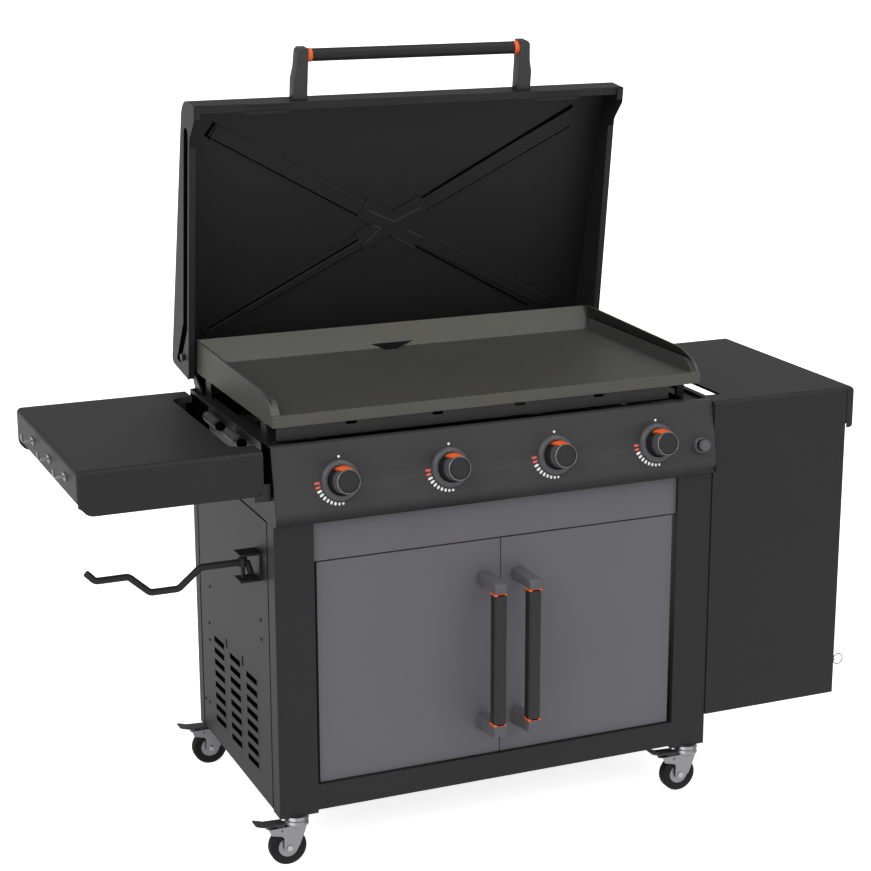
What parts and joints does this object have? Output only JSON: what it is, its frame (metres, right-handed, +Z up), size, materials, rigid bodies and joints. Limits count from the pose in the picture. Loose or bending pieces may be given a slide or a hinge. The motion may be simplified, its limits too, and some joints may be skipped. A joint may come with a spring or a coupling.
{
  "type": "outdoor gas griddle station",
  "caption": "Outdoor gas griddle on a wheeled cabinet, with a hinged lid, control knobs, two doors, a folding side shelf and a fixed shelf with a bottle cover.",
  "frame": {"origin": "on the floor, under the middle of the whole station's box", "axes": "+X to the right as the user faces the doors, +Y to the back, +Z up"},
  "size_m": [1.6896, 0.7308, 1.5564],
  "materials": {
    "frame": "fine-textured black powder coat",
    "door": "satin grey powder coat",
    "griddle": "seasoned bare steel, dark",
    "tray": "bright sheet steel",
    "burner": "stainless tube",
    "ceramic": "white ceramic",
    "pipe": "zinc-coated tube",
    "brass": "plain brass",
    "bezel": "dark plated ring",
    "knob": "matte black",
    "bracket": "satin grey cast metal",
    "zinc": "bright zinc plate",
    "pedal": "pressed steel",
    "tyre": "black rubber round a steel hub"
  },
  "bodies": {
    "station": {"front_legs": "frame", "rear_legs": "frame", "front_beam": "frame", "rear_rails": "frame", "cabinet_floor": "frame", "left_side_panel": "frame", "right_side_panel": "frame", "header_panel": "door", "firebox": "frame", "heat_tray": "tray", "burners": "burner", "igniter_electrodes": "ceramic", "gas_manifold": "pipe", "gas_valves": "brass", "control_panel": "frame", "knob_bezels": "bezel", "cup_rail": "frame", "lid_hinge_brackets": "zinc", "door_hinge_pins": "zinc", "right_shelf": "frame", "tank_bracket": "frame", "shelf_brackets": "frame", "arm_bracket": "frame", "caster_mounts": "zinc", "griddle_plate": "griddle", "wind_guard": "griddle", "griddle_feet": "zinc"},
    "lid": {"lid_shell": "frame", "lid_cheeks": "frame", "lid_handle_posts": "frame", "lid_handle_grip": "frame"},
    "left_door_leaf": {"left_door": "door", "left_handle_ends": "bracket", "left_handle_grip": "knob"},
    "right_door_leaf": {"right_door": "door", "right_handle_ends": "bracket", "right_handle_grip": "knob"},
    "igniter": {"igniter_button": "knob"},
    "cup": {"grease_cup": "tray"},
    "folding_shelf": {"left_shelf": "frame", "tool_hooks": "zinc"},
    "arm": {"swing_arm": "frame"},
    "latch": {"latch_pin": "zinc"},
    "ring": {"pull_ring": "zinc"},
    "knob_body_1": {"knob_1": "knob"},
    "knob_body_2": {"knob_2": "knob"},
    "knob_body_3": {"knob_3": "knob"},
    "knob_body_4": {"knob_4": "knob"},
    "front_left_swivel": {"front_left_caster_fork": "zinc"},
    "front_left_roller": {"front_left_wheel": "tyre"},
    "front_left_brake": {"front_left_brake_pedal": "pedal"},
    "front_right_swivel": {"front_right_caster_fork": "zinc"},
    "front_right_roller": {"front_right_wheel": "tyre"},
    "front_right_brake": {"front_right_brake_pedal": "pedal"},
    "rear_left_swivel": {"rear_left_caster_fork": "zinc"},
    "rear_left_roller": {"rear_left_wheel": "tyre"},
    "rear_left_brake": {"rear_left_brake_pedal": "pedal"},
    "rear_right_swivel": {"rear_right_caster_fork": "zinc"},
    "rear_right_roller": {"rear_right_wheel": "tyre"},
    "rear_right_brake": {"rear_right_brake_pedal": "pedal"}
  },
  "joints": [
    {"name": "lid_hinge", "type": "hinge", "parent": "station", "child": "lid", "pos_m": [0.02265, 0.27665, 0.912], "axis": [1, 0, 0], "range_deg": [0, 81.8]},
    {"name": "left_door_hinge", "type": "hinge", "parent": "station", "child": "left_door_leaf", "pos_m": [-0.35835, -0.27135, 0.389], "axis": [0, 0, -1], "range_deg": [0, 105]},
    {"name": "right_door_hinge", "type": "hinge", "parent": "station", "child": "right_door_leaf", "pos_m": [0.40365, -0.27135, 0.389], "axis": [0, 0, 1], "range_deg": [0, 105]},
    {"name": "igniter_press", "type": "slide", "parent": "station", "child": "igniter", "axis": [0, 0.9798, -0.2002], "range_m": [0, 0.004], "stiffness_N_per_m": 300},
    {"name": "grease_cup_slide", "type": "slide", "parent": "station", "child": "cup", "axis": [-1, 0, 0], "range_m": [0, 0.15]},
    {"name": "shelf_fold", "type": "hinge", "parent": "station", "child": "folding_shelf", "pos_m": [-0.47435, -0.02635, 0.763], "axis": [0, -1, 0], "range_deg": [0, 90]},
    {"name": "arm_swing", "type": "hinge", "parent": "station", "child": "arm", "pos_m": [-0.48435, -0.18635, 0.606], "axis": [0, 0, -1], "range_deg": [0, 90]},
    {"name": "latch_pull", "type": "slide", "parent": "station", "child": "latch", "axis": [1, 0, 0], "range_m": [0, 0.01], "stiffness_N_per_m": 200},
    {"name": "ring_swing", "type": "hinge", "parent": "latch", "child": "ring", "pos_m": [0.82015, -0.28035, 0.238], "axis": [0, 0, 1], "range_deg": [-45, 45]},
    {"name": "knob_1_turn", "type": "hinge", "parent": "station", "child": "knob_body_1", "pos_m": [-0.3183, -0.29047, 0.779], "axis": [0, -0.9798, 0.2002], "range_deg": [0, 180]},
    {"name": "knob_2_turn", "type": "hinge", "parent": "station", "child": "knob_body_2", "pos_m": [-0.091, -0.29047, 0.779], "axis": [0, -0.9798, 0.2002], "range_deg": [0, 180]},
    {"name": "knob_3_turn", "type": "hinge", "parent": "station", "child": "knob_body_3", "pos_m": [0.1363, -0.29047, 0.779], "axis": [0, -0.9798, 0.2002], "range_deg": [0, 180]},
    {"name": "knob_4_turn", "type": "hinge", "parent": "station", "child": "knob_body_4", "pos_m": [0.3636, -0.29047, 0.779], "axis": [0, -0.9798, 0.2002], "range_deg": [0, 180]},
    {"name": "front_left_swivel_turn", "type": "hinge", "parent": "station", "child": "front_left_swivel", "pos_m": [-0.41585, -0.27385, 0.086], "axis": [0, 0, 1], "continuous": true},
    {"name": "front_left_wheel_spin", "type": "hinge", "parent": "front_left_swivel", "child": "front_left_roller", "pos_m": [-0.43585, -0.27385, 0.0375], "axis": [0, 1, 0], "continuous": true},
    {"name": "front_left_brake_press", "type": "hinge", "parent": "front_left_swivel", "child": "front_left_brake", "pos_m": [-0.45065, -0.27385, 0.0762], "axis": [0, -1, 0], "range_deg": [0, 10]},
    {"name": "front_right_swivel_turn", "type": "hinge", "parent": "station", "child": "front_right_swivel", "pos_m": [0.46115, -0.27385, 0.086], "axis": [0, 0, 1], "continuous": true},
    {"name": "front_right_wheel_spin", "type": "hinge", "parent": "front_right_swivel", "child": "front_right_roller", "pos_m": [0.44115, -0.27385, 0.0375], "axis": [0, 1, 0], "continuous": true},
    {"name": "front_right_brake_press", "type": "hinge", "parent": "front_right_swivel", "child": "front_right_brake", "pos_m": [0.42635, -0.27385, 0.0762], "axis": [0, -1, 0], "range_deg": [0, 10]},
    {"name": "rear_left_swivel_turn", "type": "hinge", "parent": "station", "child": "rear_left_swivel", "pos_m": [-0.41585, 0.25465, 0.086], "axis": [0, 0, 1], "continuous": true},
    {"name": "rear_left_wheel_spin", "type": "hinge", "parent": "rear_left_swivel", "child": "rear_left_roller", "pos_m": [-0.43585, 0.25465, 0.0375], "axis": [0, 1, 0], "continuous": true},
    {"name": "rear_left_brake_press", "type": "hinge", "parent": "rear_left_swivel", "child": "rear_left_brake", "pos_m": [-0.45065, 0.25465, 0.0762], "axis": [0, -1, 0], "range_deg": [0, 10]},
    {"name": "rear_right_swivel_turn", "type": "hinge", "parent": "station", "child": "rear_right_swivel", "pos_m": [0.46115, 0.25465, 0.086], "axis": [0, 0, 1], "continuous": true},
    {"name": "rear_right_wheel_spin", "type": "hinge", "parent": "rear_right_swivel", "child": "rear_right_roller", "pos_m": [0.44115, 0.25465, 0.0375], "axis": [0, 1, 0], "continuous": true},
    {"name": "rear_right_brake_press", "type": "hinge", "parent": "rear_right_swivel", "child": "rear_right_brake", "pos_m": [0.42635, 0.25465, 0.0762], "axis": [0, -1, 0], "range_deg": [0, 10]}
  ],
  "couplings": [
    {"joint": "arm_swing", "follows": "shelf_fold", "ratio": 1}
  ]
}
